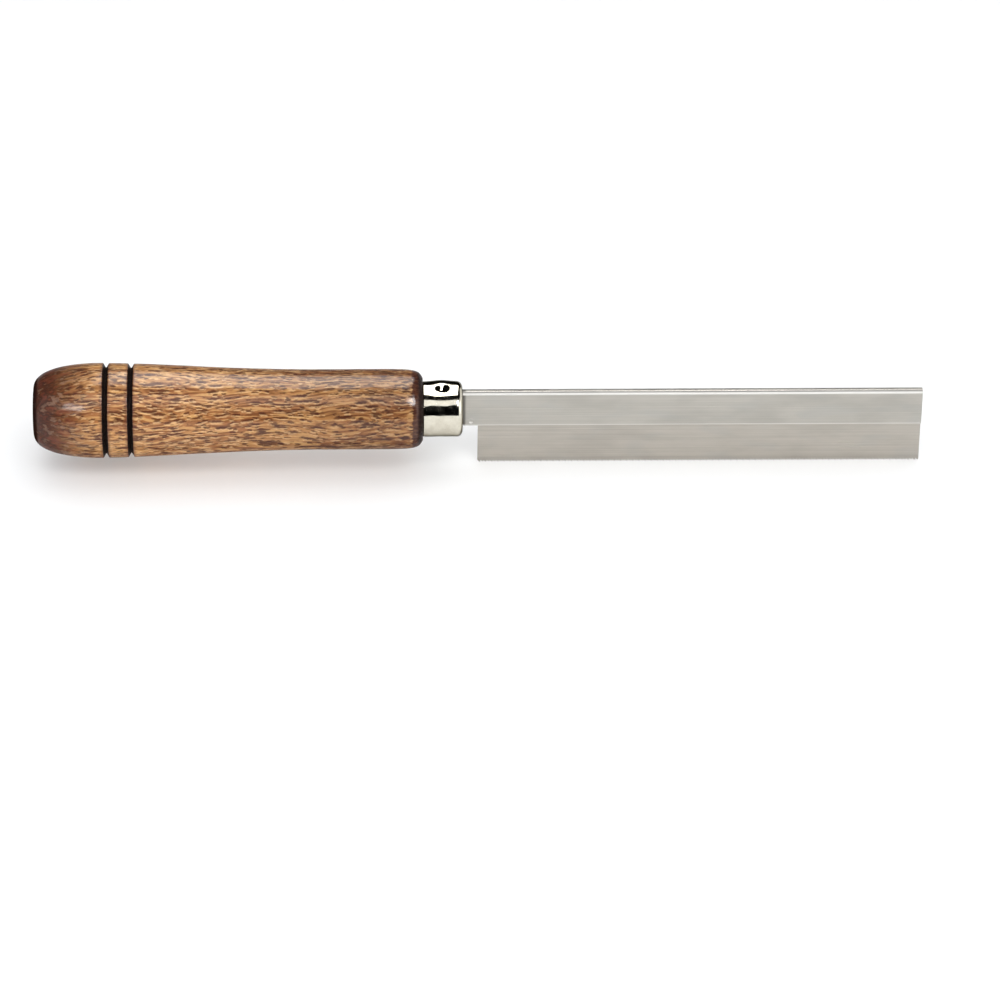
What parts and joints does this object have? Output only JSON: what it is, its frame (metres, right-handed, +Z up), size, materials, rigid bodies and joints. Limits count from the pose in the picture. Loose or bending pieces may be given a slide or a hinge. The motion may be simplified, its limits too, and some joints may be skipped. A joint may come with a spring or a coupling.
{
  "type": "hand saw",
  "caption": "Small back saw with a turned wooden handle, a metal ferrule, a folded steel back and a fine-toothed blade for cutting in a mitre box.",
  "frame": {"origin": "centre of the handle's flat butt end, on the handle's axis", "axes": "+X along the handle's axis from the butt to the toe of the blade; +Z up, on the side of the back, so the teeth point along -Z; Y across the blade's thickness"},
  "size_m": [0.228, 0.0242, 0.0278],
  "materials": {
    "handle_wood": "satin",
    "ferrule_nickel": "gloss",
    "back_steel": "satin",
    "blade_steel": "satin"
  },
  "bodies": {
    "root": {"handle": "handle_wood", "ferrule": "ferrule_nickel", "back": "back_steel", "blade": "blade_steel"}
  },
  "joints": []
}
